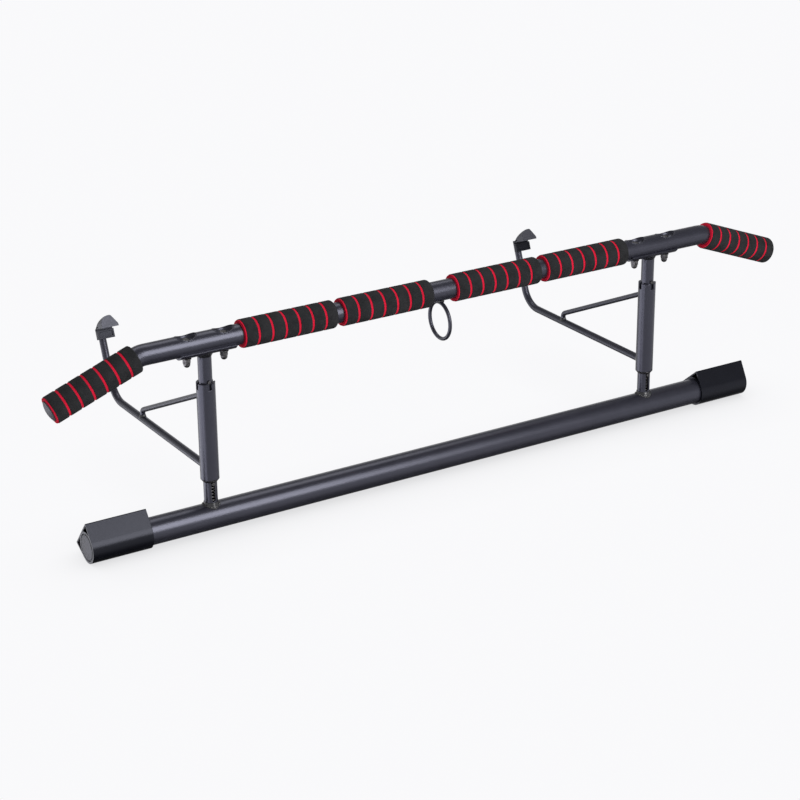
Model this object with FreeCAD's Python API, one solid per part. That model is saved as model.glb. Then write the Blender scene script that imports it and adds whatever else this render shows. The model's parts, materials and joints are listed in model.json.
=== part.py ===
"""Doorway pull up bar: a door-width lower tube, two posts, a gripped upper bar and two folding hook arms.

Millimetres, +Z up, +X along the bars to the right, +Y towards the wall that the hooks reach over. The model
is drawn about the lower tube's axis, and every piece is moved at the end so that the origin is at the centre
of the bottom of the whole bar's box.
"""

import FreeCAD, Part

import math
import os

os.makedirs("parts", exist_ok=True)

Vector = FreeCAD.Vector
SIDES = (("left", -1.0), ("right", 1.0))

# Lower tube, which bears on the door frame through its two pads.
LOWER_TUBE_OD = 35.0
LOWER_TUBE_WALL = 1.5
LOWER_TUBE_LENGTH = 1008.0
LOWER_PLUG_EDGE = 1.2
LOWER_PLUG_HEAD = 1.6
LOWER_PLUG_DOME = 1.0
LOWER_PLUG_SPIGOT = 16.0

# Door pads: a round sleeve with a flat, ribbed face on the door side.
PAD_LENGTH = 80.5
PAD_OVERHANG = 1.5
PAD_WALL = 2.8
PAD_FACE_STANDOFF = 0.65
PAD_FACE_WIDTH = 50.0
PAD_WEB = 2.2
PAD_CORNER = 1.2
PAD_TILT = {"left": 40.0, "right": 50.0}
PAD_RIB_PITCH = 4.0
PAD_RIB_GROOVE = 1.4
PAD_RIB_DEPTH = 0.8

# Posts and their slots.
POST_SPACING = 672.0
POST_OD = 17.4
POST_WALL = 1.5
SLOT_WIDTH = 5.0
SLOT_RISE = 4.5
SLOT_LENGTH = 36.0
WELD_LEG = 4.5

# Upper bar.
BAR_HEIGHT = 234.5
BAR_FORWARD = 3.0
BAR_OD = 26.6
BAR_WALL = 1.5
BAR_BEND_BESIDE_POST = 86.0
BAR_END_ANGLE = 20.7
BAR_END_RUN = 127.0
BAR_BEND_RADIUS = 30.0
BAR_PLUG_SPIGOT = 14.0
BAR_PLUG_RIM = 1.2
BAR_PLUG_DOME = 2.8

# Pressed dimples in the top of the bar, one above each saddle bolt.
DIMPLE_LENGTH = 29.0
DIMPLE_WIDTH = 20.4
DIMPLE_HEIGHT = 22.0
DIMPLE_RISE = 1.2

# Saddle plates, their bolts, washers and acorn nuts.
SADDLE_LENGTH = 75.6
SADDLE_THICKNESS = 2.6
SADDLE_HALF_ANGLE = 58.0
BOLT_SPACING = 50.4
BOLT_OD = 6.0
BOLT_HEAD_OD = 10.0
BOLT_HEAD_HEIGHT = 3.6
BOLT_HEAD_SEAT = 1.4
WASHER_OD = 12.0
WASHER_THICKNESS = 1.2
NUT_ACROSS_FLATS = 9.4
NUT_HEX_HEIGHT = 5.0
NUT_DOME_HEIGHT = 6.4

# Foam grips: a red inner sleeve under seven black rings.
GRIP_FOAM_WALL = 1.7
GRIP_LENGTH = 130.0
GRIP_LINER_WALL = 3.0
GRIP_RINGS = 7
GRIP_GROOVE = 2.5
GRIP_RIM = 1.6
GRIP_RIM_STEP = 1.0
GRIP_END_ROUND = 3.0
GRIP_CENTRE_GAP = 36.0
GRIP_PAIR_GAP = 10.5
END_GRIP_START = 6.0

# Hanging ring under the middle of the bar.
RING_OD = 54.0
RING_WIRE = 5.0
RING_WELD_LENGTH = 9.0

# Folding sleeves.
SLEEVE_WALL = 3.12
SLEEVE_HEADROOM = 37.55
NOTCH_WIDTH = 5.2
NOTCH_DEPTH = 7.8
NOTCHES = 4

# Lock pin, lift pin, lift collar and spring of each sleeve.
LOCK_PIN_OD = 4.0
LOCK_PIN_INSET = 0.4
LIFT_PIN_OD = 4.0
LIFT_PIN_REACH = 1.5
COLLAR_RISE = 31.2
COLLAR_HEIGHT = 3.5
COLLAR_FOOT_WALL = 0.62
COLLAR_EDGE = 0.3
SPRING_WIRE = 1.8
SPRING_TURNS = 6.0

# Arms: a horizontal run, a bend and a run that leans back to the hook.
ARM_OD = 10.0
ARM_RISE_ON_SLEEVE = 12.65
ARM_REACH = 285.4
ARM_DROP = 5.8
ARM_BEND_RADIUS = 35.0
ARM_LEAN = 20.45
ARM_RISE = 95.3
ARM_STUB = 2.0

# Braces from the sleeve down to the arm.
BRACE_OD = 7.1
BRACE_DROP_ON_SLEEVE = 15.0
BRACE_SLOPE = 25.3
BRACE_REACH = 195.0
BRACE_BEND_RADIUS = 8.0
ROD_WELD_LEG = 2.2

# Hooks.
HOOK_WIDTH = 24.0
HOOK_BACK = 10.6
HOOK_PLATE = 2.0
HOOK_PAD_FRONT = 16.6
HOOK_PAD_RIM = 1.0
HOOK_PAD_BORDER = 2.6
HOOK_PAD_GAP = 2.4
HOOK_DROP = 14.5
HOOK_WEB_WIDTH = 12.0
HOOD_FRONT = 37.6
HOOD_HEIGHT = 16.2
HOOD_SIDE_HEIGHT = 7.0
HOOD_TONGUE_REACH = 28.0
HOOD_TONGUE_WIDTH = 17.0
HOOD_TONGUE_THICKNESS = 2.0
HOOD_POCKET_DEPTH = 2.4

# Clearances.
SEAT = 0.05
RUNNING_FIT = 0.08
PAD_FIT = 0.05
FACE_GAP = 0.15
PIN_GAP = 0.30

# Sizes that follow.
LOWER_TUBE_R = LOWER_TUBE_OD / 2
POST_R = POST_OD / 2
BAR_R = BAR_OD / 2
SLEEVE_R = POST_R + RUNNING_FIT + SLEEVE_WALL
SLEEVE_OD = 2 * SLEEVE_R
ARM_R = ARM_OD / 2
BRACE_R = BRACE_OD / 2
PAD_BORE_R = LOWER_TUBE_R + PAD_FIT
PAD_R = PAD_BORE_R + PAD_WALL
PAD_FACE_DISTANCE = PAD_R + PAD_FACE_STANDOFF
GRIP_LINER_R = BAR_R + GRIP_LINER_WALL
GRIP_R = GRIP_LINER_R + GRIP_FOAM_WALL
GRIP_RIM_R = GRIP_LINER_R + GRIP_RIM_STEP
BAR_HALF_SPAN = POST_SPACING / 2 + BAR_BEND_BESIDE_POST
SADDLE_R = BAR_R + SEAT + SADDLE_THICKNESS
SADDLE_BOTTOM = BAR_HEIGHT - SADDLE_R
SLEEVE_TOP = SADDLE_BOTTOM - SLEEVE_HEADROOM
LOCK_PIN_HEIGHT = SLEEVE_TOP + PIN_GAP + LOCK_PIN_OD / 2
LOCK_PIN_LENGTH = SLEEVE_OD - 2 * LOCK_PIN_INSET
LIFT_PIN_LENGTH = POST_OD + 2 * LIFT_PIN_REACH
COLLAR_BOTTOM = LOWER_TUBE_R + COLLAR_RISE
COLLAR_TOP = COLLAR_BOTTOM + COLLAR_HEIGHT
COLLAR_FOOT_R = POST_R + RUNNING_FIT + COLLAR_FOOT_WALL
SLEEVE_BOTTOM = COLLAR_TOP + FACE_GAP
LIFT_PIN_HEIGHT = COLLAR_BOTTOM - LIFT_PIN_OD / 2
SLOT_BOTTOM = LOWER_TUBE_R + SLOT_RISE
SLOT_TOP = SLOT_BOTTOM + SLOT_LENGTH
ARM_START_HEIGHT = SLEEVE_BOTTOM + ARM_RISE_ON_SLEEVE
BRACE_START_HEIGHT = SLEEVE_TOP - BRACE_DROP_ON_SLEEVE


# ----------------------------------------------------------------------------------------------------
# Shape helpers
# ----------------------------------------------------------------------------------------------------


def rod(radius, start, end):
    """A round solid from one point to another."""
    run = end - start
    return Part.makeCylinder(radius, run.Length, start, run)


def tube(outer, inner, start, end):
    """A round tube from one point to another."""
    return rod(outer, start, end).cut(rod(inner, start, end))


def block(x, y, z):
    """A box from three (low, high) pairs."""
    corner = Vector(x[0], y[0], z[0])
    return Part.makeBox(x[1] - x[0], y[1] - y[0], z[1] - z[0], corner)


def prism(points, run):
    """A closed outline of points, pushed along a vector."""
    wire = Part.makePolygon(points + points[:1])
    return Part.Face(wire).extrude(run)


def rounded_path(points, radius):
    """Straight runs through the points, joined by tangent arcs of one radius."""
    edges = []
    last = points[0]
    for before, corner, after in zip(points, points[1:], points[2:]):
        back = (before - corner).normalize()
        ahead = (after - corner).normalize()
        half = back.getAngle(ahead) / 2
        setback = radius / math.tan(half)
        bisector = (back + ahead).normalize()
        first = corner + back * setback
        middle = corner + bisector * (radius / math.sin(half) - radius)
        second = corner + ahead * setback
        edges.append(Part.LineSegment(last, first).toShape())
        edges.append(Part.Arc(first, middle, second).toShape())
        last = second
    edges.append(Part.LineSegment(last, points[-1]).toShape())
    return Part.Wire(edges)


def bent_rod(points, bend_radius, radius):
    """A round rod along straight runs joined by arcs."""
    path = rounded_path(points, bend_radius)
    section = Part.Wire(Part.makeCircle(radius, points[0], points[1] - points[0]))
    return path.makePipeShell([section], True, False)


def domed_plug(rim, spigot, spigot_length, edge, dome):
    """A tube plug along +X: a spigot that ends at x = 0, then a flat edge and a shallow dome."""
    start = Vector(-spigot_length, 0, 0)
    body = rod(spigot, start, Vector(0, 0, 0)).fuse(rod(rim, Vector(0, 0, 0), Vector(edge, 0, 0)))
    ball_radius = (rim**2 + dome**2) / (2 * dome)
    ball = Part.makeSphere(ball_radius, Vector(edge + dome - ball_radius, 0, 0))
    cap = ball.common(rod(rim, Vector(0, 0, 0), Vector(edge + dome, 0, 0)))
    return body.fuse(cap).removeSplitter()


def placed(shape, origin, x_axis, z_axis=Vector(0, 0, 1)):
    """A copy of a shape whose own +X and +Z point along the given directions from an origin."""
    x_axis = Vector(x_axis).normalize()
    y_axis = z_axis.cross(x_axis).normalize()
    turn = FreeCAD.Rotation(x_axis, y_axis, x_axis.cross(y_axis), "XYZ")
    copy = shape.copy()
    copy.Placement = FreeCAD.Placement(origin, turn).multiply(copy.Placement)
    return copy


# ----------------------------------------------------------------------------------------------------
# Lower tube and door pads
# ----------------------------------------------------------------------------------------------------


def lower_tube():
    """The tube that crosses the door frame."""
    half = LOWER_TUBE_LENGTH / 2
    inner = LOWER_TUBE_R - LOWER_TUBE_WALL
    return tube(LOWER_TUBE_R, inner, Vector(-half, 0, 0), Vector(half, 0, 0))


def lower_plug(side):
    """A domed plug in one end of the lower tube."""
    plug = domed_plug(
        LOWER_TUBE_R - LOWER_PLUG_EDGE,
        LOWER_TUBE_R - LOWER_TUBE_WALL - SEAT,
        LOWER_PLUG_SPIGOT,
        LOWER_PLUG_HEAD,
        LOWER_PLUG_DOME,
    )
    return placed(plug, Vector(side * LOWER_TUBE_LENGTH / 2, 0, 0), Vector(side, 0, 0))


def pad_wall_angle():
    """The direction, from the pad's face normal, that its straight side wall faces."""
    corner = math.hypot(PAD_FACE_DISTANCE, PAD_FACE_WIDTH / 2)
    corner_angle = math.atan2(PAD_FACE_WIDTH / 2, PAD_FACE_DISTANCE)
    return corner_angle + math.acos(PAD_R / corner)


def pad_point(along, across):
    """A point of the pad's section: along the face normal (+Y before tilting) and across it."""
    return Vector(0, along, across)


def pad_blank():
    """The outside of a pad: a round front with straight walls back to the corners of the flat face."""
    angle = pad_wall_angle()
    touch = pad_point(PAD_R * math.cos(angle), PAD_R * math.sin(angle))
    mirror = pad_point(touch.y, -touch.z)
    upper = pad_point(PAD_FACE_DISTANCE, PAD_FACE_WIDTH / 2)
    lower = pad_point(PAD_FACE_DISTANCE, -PAD_FACE_WIDTH / 2)
    edges = [
        Part.Arc(touch, pad_point(-PAD_R, 0), mirror).toShape(),
        Part.LineSegment(mirror, lower).toShape(),
        Part.LineSegment(lower, upper).toShape(),
        Part.LineSegment(upper, touch).toShape(),
    ]
    solid = Part.Face(Part.Wire(edges)).extrude(Vector(PAD_LENGTH, 0, 0))
    sharp = []
    for edge in solid.Edges:
        centre = edge.CenterOfMass
        if abs(centre.y - PAD_FACE_DISTANCE) < 0.01 and abs(abs(centre.z) - PAD_FACE_WIDTH / 2) < 0.01:
            sharp.append(edge)
    return solid.makeFillet(PAD_CORNER, sharp)


def pad_void():
    """The two hollow corners between the pad's round sleeve, its side walls and its face."""
    angle = pad_wall_angle()
    face = PAD_FACE_DISTANCE - PAD_WEB
    outer = (PAD_R - PAD_WEB - math.cos(angle) * face) / math.sin(angle)
    inner = (PAD_R - PAD_WEB) / math.sin(angle)
    outline = [pad_point(0, inner), pad_point(face, outer), pad_point(face, -outer), pad_point(0, -inner)]
    space = prism(outline, Vector(PAD_LENGTH, 0, 0))
    return space.cut(rod(PAD_R, Vector(0, 0, 0), Vector(PAD_LENGTH, 0, 0)))


def door_pad(name, side):
    """One swivelling door pad, tilted as it is left on the tube."""
    pad = pad_blank()
    pad = pad.cut(pad_void())
    pad = pad.cut(rod(PAD_BORE_R, Vector(0, 0, 0), Vector(PAD_LENGTH, 0, 0)))
    count = int((PAD_FACE_WIDTH - 2 * PAD_RIB_PITCH) / PAD_RIB_PITCH)
    for index in range(count + 1):
        across = (index - count / 2) * PAD_RIB_PITCH
        groove = block(
            (0, PAD_LENGTH),
            (PAD_FACE_DISTANCE - PAD_RIB_DEPTH, PAD_FACE_DISTANCE + 1),
            (across - PAD_RIB_GROOVE / 2, across + PAD_RIB_GROOVE / 2),
        )
        pad = pad.cut(groove)
    pad.rotate(Vector(0, 0, 0), Vector(1, 0, 0), PAD_TILT[name])
    outer_end = LOWER_TUBE_LENGTH / 2 + PAD_OVERHANG
    pad.translate(Vector(side * (outer_end - PAD_LENGTH / 2) - PAD_LENGTH / 2, 0, 0))
    return pad


# ----------------------------------------------------------------------------------------------------
# Posts
# ----------------------------------------------------------------------------------------------------


def post_axis(side, height):
    """A point on a post's axis."""
    return Vector(side * POST_SPACING / 2, 0, height)


def saddle_cylinder(radius, side, length):
    """A round solid along the upper bar, centred above one post."""
    centre = Vector(side * POST_SPACING / 2, -BAR_FORWARD, BAR_HEIGHT)
    return rod(radius, centre - Vector(length / 2, 0, 0), centre + Vector(length / 2, 0, 0))


def post(side):
    """A post coped to the lower tube and the saddle plate, with two slots for the lift pin and a pin hole."""
    solid = rod(POST_R, post_axis(side, 0), post_axis(side, BAR_HEIGHT))
    solid = solid.cut(rod(POST_R - POST_WALL, post_axis(side, 0), post_axis(side, BAR_HEIGHT)))
    solid = solid.cut(rod(LOWER_TUBE_R, Vector(side * POST_SPACING, 0, 0), Vector(0, 0, 0)))
    solid = solid.cut(saddle_cylinder(SADDLE_R, side, SADDLE_LENGTH))
    centre = side * POST_SPACING / 2
    slot = block(
        (centre - SLOT_WIDTH / 2, centre + SLOT_WIDTH / 2),
        (-POST_OD, POST_OD),
        (SLOT_BOTTOM + SLOT_WIDTH / 2, SLOT_TOP - SLOT_WIDTH / 2),
    )
    for height in (SLOT_BOTTOM + SLOT_WIDTH / 2, SLOT_TOP - SLOT_WIDTH / 2):
        slot = slot.fuse(cross_rod(side, height, SLOT_WIDTH / 2, 2 * POST_OD))
    solid = solid.cut(slot)
    return solid.cut(cross_rod(side, LOCK_PIN_HEIGHT, LOCK_PIN_OD / 2 + SEAT, 2 * POST_OD))


def cross_rod(side, height, radius, length):
    """A round solid through a post from front to back."""
    centre = post_axis(side, height)
    return rod(radius, centre - Vector(0, length / 2, 0), centre + Vector(0, length / 2, 0))


def weld_cone(wide, narrow, start, end):
    """A conical weld blank, wide at its start."""
    run = end - start
    return Part.makeCone(wide, narrow, run.Length, start, run)


def post_welds(side):
    """The weld beads round the foot and the head of a post."""
    post_solid = rod(POST_R, post_axis(side, 0), post_axis(side, BAR_HEIGHT))
    foot = weld_cone(
        POST_R + WELD_LEG,
        POST_R + 0.4,
        post_axis(side, LOWER_TUBE_R - 2 * WELD_LEG),
        post_axis(side, LOWER_TUBE_R + WELD_LEG * 0.8),
    )
    foot = foot.cut(post_solid)
    foot = foot.cut(rod(LOWER_TUBE_R, Vector(side * POST_SPACING, 0, 0), Vector(0, 0, 0)))
    head = weld_cone(
        POST_R + WELD_LEG * 0.9,
        POST_R + 0.3,
        post_axis(side, SADDLE_BOTTOM + WELD_LEG),
        post_axis(side, SADDLE_BOTTOM - WELD_LEG * 0.7),
    )
    head = head.cut(post_solid)
    head = head.cut(saddle_cylinder(SADDLE_R, side, SADDLE_LENGTH))
    return [foot, head]


# ----------------------------------------------------------------------------------------------------
# Upper bar and its saddle plates
# ----------------------------------------------------------------------------------------------------


def end_direction(side):
    """The way a bent end of the bar points, away from the middle."""
    angle = math.radians(BAR_END_ANGLE)
    return Vector(side * math.cos(angle), 0, -math.sin(angle))


def bar_vertex(side):
    """Where the axes of the straight and bent runs of the bar meet."""
    return Vector(side * BAR_HALF_SPAN, -BAR_FORWARD, BAR_HEIGHT)


def bar_run(radius):
    """The whole bar's axis, swept at one radius."""
    points = [
        bar_vertex(-1) + end_direction(-1) * BAR_END_RUN,
        bar_vertex(-1),
        bar_vertex(1),
        bar_vertex(1) + end_direction(1) * BAR_END_RUN,
    ]
    return bent_rod(points, BAR_BEND_RADIUS, radius)


def bolt_places():
    """Each saddle bolt's x position, with the name of its side."""
    places = []
    for name, side in SIDES:
        for way in (-1, 1):
            places.append((name, side * POST_SPACING / 2 + way * BOLT_SPACING / 2))
    return places


def dimple(x, growth):
    """The egg-shaped press tool of one dimple, grown by the bar's wall for the metal under it."""
    egg = Part.makeSphere(1.0)
    matrix = FreeCAD.Matrix()
    matrix.scale(DIMPLE_LENGTH / 2 + growth, DIMPLE_WIDTH / 2 + growth, DIMPLE_HEIGHT / 2 + growth)
    egg = egg.transformGeometry(matrix)
    egg.translate(Vector(x, -BAR_FORWARD, BAR_HEIGHT + BAR_R + DIMPLE_RISE))
    return egg


def dimple_floor():
    """The height of the bottom of a dimple."""
    return BAR_HEIGHT + BAR_R + DIMPLE_RISE - DIMPLE_HEIGHT / 2


def bolt_hole(x, radius):
    """A vertical round solid through the bar at a bolt."""
    below = Vector(x, -BAR_FORWARD, BAR_HEIGHT - BAR_OD)
    return rod(radius, below, below + Vector(0, 0, 2 * BAR_OD))


def upper_bar():
    """The bent bar with a pressed dimple and a hole at each saddle bolt."""
    outside = bar_run(BAR_R)
    bar = outside.cut(bar_run(BAR_R - BAR_WALL))
    for _, x in bolt_places():
        centre = Vector(x, -BAR_FORWARD, BAR_HEIGHT)
        reach = Vector(DIMPLE_LENGTH, 0, 0)
        core = rod(BAR_R - SEAT / 5, centre - reach, centre + reach)
        bar = bar.fuse(dimple(x, BAR_WALL).common(core))
        bar = bar.cut(dimple(x, 0))
        bar = bar.cut(bolt_hole(x, BOLT_OD / 2 + SEAT))
    return bar


def bar_plug(side):
    """A domed plug in one end of the bar."""
    plug = domed_plug(BAR_R, BAR_R - BAR_WALL - SEAT, BAR_PLUG_SPIGOT, BAR_PLUG_RIM, BAR_PLUG_DOME)
    return placed(plug, bar_vertex(side) + end_direction(side) * BAR_END_RUN, end_direction(side))


def saddle_plate(name, side):
    """A trough of plate under the bar, with rounded corners and two bolt holes."""
    inner = BAR_R + SEAT
    trough = saddle_cylinder(SADDLE_R, side, SADDLE_LENGTH).cut(saddle_cylinder(inner, side, SADDLE_LENGTH))
    x = side * POST_SPACING / 2
    reach = 2 * SADDLE_R
    spread = reach * math.tan(math.radians(SADDLE_HALF_ANGLE))
    wedge = prism(
        [
            Vector(x - SADDLE_LENGTH / 2, -BAR_FORWARD, BAR_HEIGHT),
            Vector(x - SADDLE_LENGTH / 2, -BAR_FORWARD - spread, BAR_HEIGHT - reach),
            Vector(x - SADDLE_LENGTH / 2, -BAR_FORWARD + spread, BAR_HEIGHT - reach),
        ],
        Vector(SADDLE_LENGTH, 0, 0),
    )
    trough = trough.common(wedge)
    for place_name, place in bolt_places():
        if place_name == name:
            trough = trough.cut(bolt_hole(place, BOLT_OD / 2 + SEAT))
    return trough


def saddle_bolts(name):
    """The two bolts of one saddle: a round head in the dimple and a shank down to the nut."""
    bolts = []
    for place_name, x in bolt_places():
        if place_name != name:
            continue
        floor = dimple_floor() + BOLT_HEAD_SEAT
        end = SADDLE_BOTTOM - WASHER_THICKNESS - NUT_HEX_HEIGHT - NUT_DOME_HEIGHT * 0.35
        shank = rod(BOLT_OD / 2, Vector(x, -BAR_FORWARD, end), Vector(x, -BAR_FORWARD, floor))
        head = rod(
            BOLT_HEAD_OD / 2,
            Vector(x, -BAR_FORWARD, floor),
            Vector(x, -BAR_FORWARD, floor + BOLT_HEAD_HEIGHT),
        )
        rim = [edge for edge in head.Edges if abs(edge.CenterOfMass.z - floor - BOLT_HEAD_HEIGHT) < 0.01]
        head = head.makeFillet(BOLT_HEAD_HEIGHT * 0.45, rim)
        bolts.append(shank.fuse(head).removeSplitter())
    return bolts


def saddle_washers(name):
    """The two washers of one saddle."""
    washers = []
    for place_name, x in bolt_places():
        if place_name == name:
            top = Vector(x, -BAR_FORWARD, SADDLE_BOTTOM)
            washers.append(tube(WASHER_OD / 2, BOLT_OD / 2 + SEAT, top - Vector(0, 0, WASHER_THICKNESS), top))
    return washers


def acorn_nuts(name):
    """The two domed nuts of one saddle."""
    nuts = []
    corner_radius = NUT_ACROSS_FLATS / math.sqrt(3)
    for place_name, x in bolt_places():
        if place_name != name:
            continue
        top = SADDLE_BOTTOM - WASHER_THICKNESS
        corners = []
        for index in range(6):
            angle = math.radians(60 * index)
            offset = Vector(corner_radius * math.cos(angle), corner_radius * math.sin(angle), 0)
            corners.append(Vector(x, -BAR_FORWARD, top) + offset)
        nut = prism(corners, Vector(0, 0, -NUT_HEX_HEIGHT))
        dome_radius = NUT_ACROSS_FLATS / 2 - 0.4
        base = top - NUT_HEX_HEIGHT
        straight = NUT_DOME_HEIGHT - dome_radius
        crown = Vector(x, -BAR_FORWARD, base - straight)
        nut = nut.fuse(rod(dome_radius, Vector(x, -BAR_FORWARD, base), crown))
        nut = nut.fuse(Part.makeSphere(dome_radius, crown))
        end = base - NUT_DOME_HEIGHT * 0.35 - 0.5
        nut = nut.cut(rod(BOLT_OD / 2 + SEAT, Vector(x, -BAR_FORWARD, end), Vector(x, -BAR_FORWARD, top)))
        nuts.append(nut)
    return nuts


# ----------------------------------------------------------------------------------------------------
# Foam grips and hanging ring
# ----------------------------------------------------------------------------------------------------


def grip(length):
    """The black rings and the red inner sleeve of one grip, along +X from its left end."""
    bore = BAR_R + SEAT
    liner = tube(GRIP_LINER_R, bore, Vector(0, 0, 0), Vector(length - GRIP_END_ROUND, 0, 0))
    liner = liner.fuse(tube(GRIP_RIM_R, bore, Vector(0, 0, 0), Vector(GRIP_RIM, 0, 0))).removeSplitter()
    ring_length = (length - GRIP_RIM - GRIP_GROOVE * (GRIP_RINGS - 1)) / GRIP_RINGS
    rings = []
    for index in range(GRIP_RINGS):
        start = GRIP_RIM + index * (ring_length + GRIP_GROOVE)
        last = index == GRIP_RINGS - 1
        ring = rod(GRIP_R, Vector(start, 0, 0), Vector(start + ring_length, 0, 0))
        if last:
            rim = [edge for edge in ring.Edges if abs(edge.CenterOfMass.x - length) < 0.01]
            ring = ring.makeFillet(GRIP_END_ROUND, rim)
            ring = ring.cut(rod(bore, Vector(0, 0, 0), Vector(length, 0, 0)))
        end = length - GRIP_END_ROUND if last else length
        ring = ring.cut(rod(GRIP_LINER_R, Vector(0, 0, 0), Vector(end, 0, 0)))
        rings.append(ring)
    return rings, liner


def grip_places():
    """Name, left end, direction and length of every grip."""
    centre = GRIP_CENTRE_GAP / 2
    outer = centre + GRIP_LENGTH + GRIP_PAIR_GAP
    along = Vector(1, 0, 0)
    places = [
        ("left_outer", Vector(-outer - GRIP_LENGTH, -BAR_FORWARD, BAR_HEIGHT), along, GRIP_LENGTH),
        ("left_inner", Vector(-centre - GRIP_LENGTH, -BAR_FORWARD, BAR_HEIGHT), along, GRIP_LENGTH),
        ("right_inner", Vector(centre, -BAR_FORWARD, BAR_HEIGHT), along, GRIP_LENGTH),
        ("right_outer", Vector(outer, -BAR_FORWARD, BAR_HEIGHT), along, GRIP_LENGTH),
    ]
    end_length = BAR_END_RUN - END_GRIP_START
    left_end = bar_vertex(-1) + end_direction(-1) * BAR_END_RUN
    right_end = bar_vertex(1) + end_direction(1) * END_GRIP_START
    places.append(("left_end", left_end, end_direction(-1) * -1, end_length))
    places.append(("right_end", right_end, end_direction(1), end_length))
    return places


def ring_centre():
    """The middle of the hanging ring."""
    return Vector(0, -BAR_FORWARD, BAR_HEIGHT - BAR_R - SEAT - RING_OD / 2)


def hanging_ring():
    """The round ring under the middle of the bar, square to it."""
    return Part.makeTorus((RING_OD - RING_WIRE) / 2, RING_WIRE / 2, ring_centre(), Vector(1, 0, 0))


def ring_weld():
    """The bead that joins the ring to the bar."""
    half = RING_WELD_LENGTH / 2
    top = BAR_HEIGHT - BAR_R
    bead = rod(RING_WIRE / 2 + 1.3, Vector(0, -BAR_FORWARD - half, top), Vector(0, -BAR_FORWARD + half, top))
    bead = bead.cut(hanging_ring())
    centre = Vector(0, -BAR_FORWARD, BAR_HEIGHT)
    bead = bead.cut(rod(BAR_R + SEAT / 2, centre - Vector(BAR_OD, 0, 0), centre + Vector(BAR_OD, 0, 0)))
    return max(bead.Solids, key=lambda solid: solid.Volume)


# ----------------------------------------------------------------------------------------------------
# Folding sleeves, with their pins, washer and spring
# ----------------------------------------------------------------------------------------------------


def sleeve(side):
    """The sleeve that slides and turns on a post, notched at its rim."""
    solid = tube(SLEEVE_R, POST_R + RUNNING_FIT, post_axis(side, SLEEVE_BOTTOM), post_axis(side, SLEEVE_TOP))
    for index in range(NOTCHES // 2):
        notch = block(
            (-SLEEVE_OD, SLEEVE_OD),
            (-NOTCH_WIDTH / 2, NOTCH_WIDTH / 2),
            (SLEEVE_TOP - NOTCH_DEPTH, SLEEVE_TOP + 1),
        )
        notch.rotate(Vector(0, 0, 0), Vector(0, 0, 1), index * 360 / NOTCHES)
        notch.translate(post_axis(side, 0))
        solid = solid.cut(notch)
    return solid.removeSplitter()


def lock_pin(side):
    """The pin through the post that the sleeve's notches rise over."""
    return cross_rod(side, LOCK_PIN_HEIGHT, LOCK_PIN_OD / 2, LOCK_PIN_LENGTH)


def lift_pin(side):
    """The pin that rides in the post's slots on top of the spring."""
    return cross_rod(side, LIFT_PIN_HEIGHT, LIFT_PIN_OD / 2, LIFT_PIN_LENGTH)


def lift_collar(side):
    """The tapered collar that lies on the lift pin and carries the sleeve."""
    flank = COLLAR_HEIGHT - COLLAR_EDGE
    edge = post_axis(side, COLLAR_BOTTOM + flank)
    collar = Part.makeCone(COLLAR_FOOT_R, SLEEVE_R, flank, post_axis(side, COLLAR_BOTTOM), Vector(0, 0, 1))
    collar = collar.fuse(rod(SLEEVE_R, edge, post_axis(side, COLLAR_TOP)))
    return collar.cut(rod(POST_R + RUNNING_FIT, post_axis(side, 0), post_axis(side, BAR_HEIGHT)))


def lift_spring(side):
    """The coil spring inside the post, from the lower tube's crown up to the lift pin."""
    wire_radius = SPRING_WIRE / 2
    coil_radius = POST_R - POST_WALL - 0.4 - wire_radius
    bottom = LOWER_TUBE_R + wire_radius + SEAT
    top = LIFT_PIN_HEIGHT - LIFT_PIN_OD / 2 - wire_radius - SEAT
    height = top - bottom
    path = Part.makeHelix(height / SPRING_TURNS, height, coil_radius)
    slope = math.atan2(height / SPRING_TURNS, 2 * math.pi * coil_radius)
    heading = Vector(0, math.cos(slope), math.sin(slope))
    section = Part.Wire(Part.makeCircle(wire_radius, Vector(coil_radius, 0, 0), heading))
    spring = Part.Wire(path).makePipeShell([section], True, True)
    spring.translate(post_axis(side, bottom))
    return spring


# ----------------------------------------------------------------------------------------------------
# Arms, braces and hooks
# ----------------------------------------------------------------------------------------------------


def arm_point(side, reach, height):
    """A point in the plane of one arm."""
    return Vector(side * POST_SPACING / 2, reach, height)


def arm_height(reach):
    """The height of the arm's lower run at a reach from the post."""
    return ARM_START_HEIGHT - ARM_DROP * reach / ARM_REACH


def lean():
    """The way the arm's upper run points."""
    return Vector(0, math.sin(math.radians(ARM_LEAN)), math.cos(math.radians(ARM_LEAN)))


def hook_root(side):
    """The point of the arm's axis level with the underside of the hood."""
    return arm_point(side, ARM_REACH, arm_height(ARM_REACH)) + lean() * ARM_RISE


def arm(side):
    """The bent arm, coped to the sleeve."""
    points = [
        arm_point(side, 0, ARM_START_HEIGHT),
        arm_point(side, ARM_REACH, arm_height(ARM_REACH)),
        hook_root(side) + lean() * -ARM_STUB,
    ]
    solid = bent_rod(points, ARM_BEND_RADIUS, ARM_R)
    return solid.cut(rod(SLEEVE_R, post_axis(side, 0), post_axis(side, BAR_HEIGHT)))


def lower_run(side):
    """The radius and the two ends of the arm's lower run."""
    return ARM_R, arm_point(side, 0, arm_height(0)), arm_point(side, ARM_REACH, arm_height(ARM_REACH))


def brace_height(reach):
    """The height of the brace's axis at a reach from the post."""
    return BRACE_START_HEIGHT - reach * math.tan(math.radians(BRACE_SLOPE))


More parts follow.
